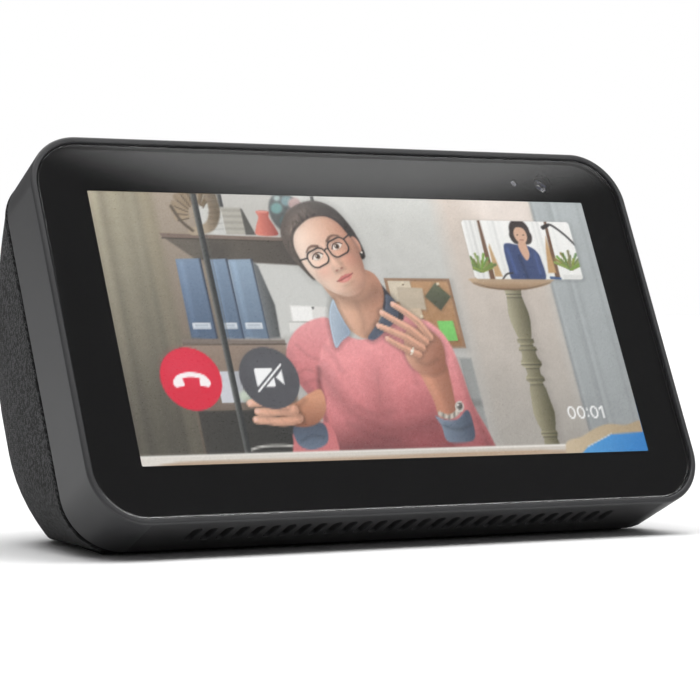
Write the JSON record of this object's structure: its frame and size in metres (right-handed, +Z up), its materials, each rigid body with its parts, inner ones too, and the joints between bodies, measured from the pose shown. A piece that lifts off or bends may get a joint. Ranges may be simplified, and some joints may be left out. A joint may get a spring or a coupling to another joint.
{
  "type": "smart display",
  "caption": "Desk smart display: leaning glass screen in a slotted frame, fabric covered body behind, top buttons and a camera shutter.",
  "frame": {"origin": "centre of the object's box, on the surface that it stands on", "axes": "+X along the screen's width, to the right of someone who faces it; +Y away from that person, towards the sockets; +Z up"},
  "size_m": [0.148, 0.073, 0.085],
  "materials": {
    "frame_plastic": "satin moulded",
    "button_plastic": "satin moulded",
    "cover_glass": "gloss with a black printed border",
    "screen": "lit picture",
    "fabric": "fine charcoal knit",
    "body_plastic": "moulded",
    "rubber": "matte",
    "dust_mesh": "woven",
    "steel": "tinned",
    "screw_steel": "zinc",
    "aluminium": "plain",
    "magnet": "ferrite",
    "circuit_board": "solder mask",
    "flat_cable": "film",
    "lens": "coated",
    "cone": "pressed paper"
  },
  "bodies": {
    "body": {"base_plate": "body_plastic", "base_screw_1": "screw_steel", "base_screw_2": "screw_steel", "base_screw_3": "screw_steel", "base_screw_4": "screw_steel", "button_board": "circuit_board", "button_flex": "flat_cable", "camera_board": "circuit_board", "camera_lens": "lens", "camera_module": "body_plastic", "chassis": "body_plastic", "cover_glass": "cover_glass", "display_back_plate": "steel", "display_flex": "flat_cable", "display_panel": "screen", "fabric_sleeve": "fabric", "front_frame": "frame_plastic", "heat_spreader": "aluminium", "light_sensor": "lens", "main_board": "circuit_board", "mic_switch": "steel", "microphone_left": "steel", "microphone_right": "steel", "port_board": "circuit_board", "port_tray": "body_plastic", "power_lead": "flat_cable", "power_socket": "body_plastic", "processor_shield": "steel", "radio_shield": "steel", "rear_shell": "body_plastic", "rubber_foot": "rubber", "service_socket": "steel", "shell_screw_1": "screw_steel", "shell_screw_2": "screw_steel", "shell_screw_3": "screw_steel", "shell_screw_4": "screw_steel", "slot_mesh": "dust_mesh", "speaker_basket": "steel", "speaker_box": "body_plastic", "speaker_lead": "flat_cable", "speaker_magnet": "magnet", "speaker_screw_1": "screw_steel", "speaker_screw_2": "screw_steel", "speaker_screw_3": "screw_steel", "speaker_screw_4": "screw_steel", "speaker_surround": "rubber", "volume_down_switch": "steel", "volume_up_switch": "steel", "wifi_antenna_left": "flat_cable", "wifi_antenna_right": "flat_cable"},
    "mic_button_body": {"mic_button": "button_plastic"},
    "volume_down_button_body": {"volume_down_button": "button_plastic"},
    "volume_up_button_body": {"volume_up_button": "button_plastic"},
    "shutter": {"camera_shutter": "button_plastic"},
    "cone": {"speaker_cone": "cone"}
  },
  "joints": [
    {"name": "mic_button_press", "type": "slide", "parent": "body", "child": "mic_button_body", "axis": [0, -0.4226, -0.9063], "range_m": [0, 0.0005], "stiffness_N_per_m": 2000, "springref_m": -0.0002},
    {"name": "volume_down_button_press", "type": "slide", "parent": "body", "child": "volume_down_button_body", "axis": [0, -0.4226, -0.9063], "range_m": [0, 0.0005], "stiffness_N_per_m": 2000, "springref_m": -0.0002},
    {"name": "volume_up_button_press", "type": "slide", "parent": "body", "child": "volume_up_button_body", "axis": [0, -0.4226, -0.9063], "range_m": [0, 0.0005], "stiffness_N_per_m": 2000, "springref_m": -0.0002},
    {"name": "shutter_slide", "type": "slide", "parent": "body", "child": "shutter", "axis": [-1, 0, 0], "range_m": [0, 0.0076]},
    {"name": "cone_stroke", "type": "slide", "parent": "body", "child": "cone", "axis": [0, -0.9063, 0.4226], "range_m": [-0.0008, 0.0008], "stiffness_N_per_m": 900}
  ]
}
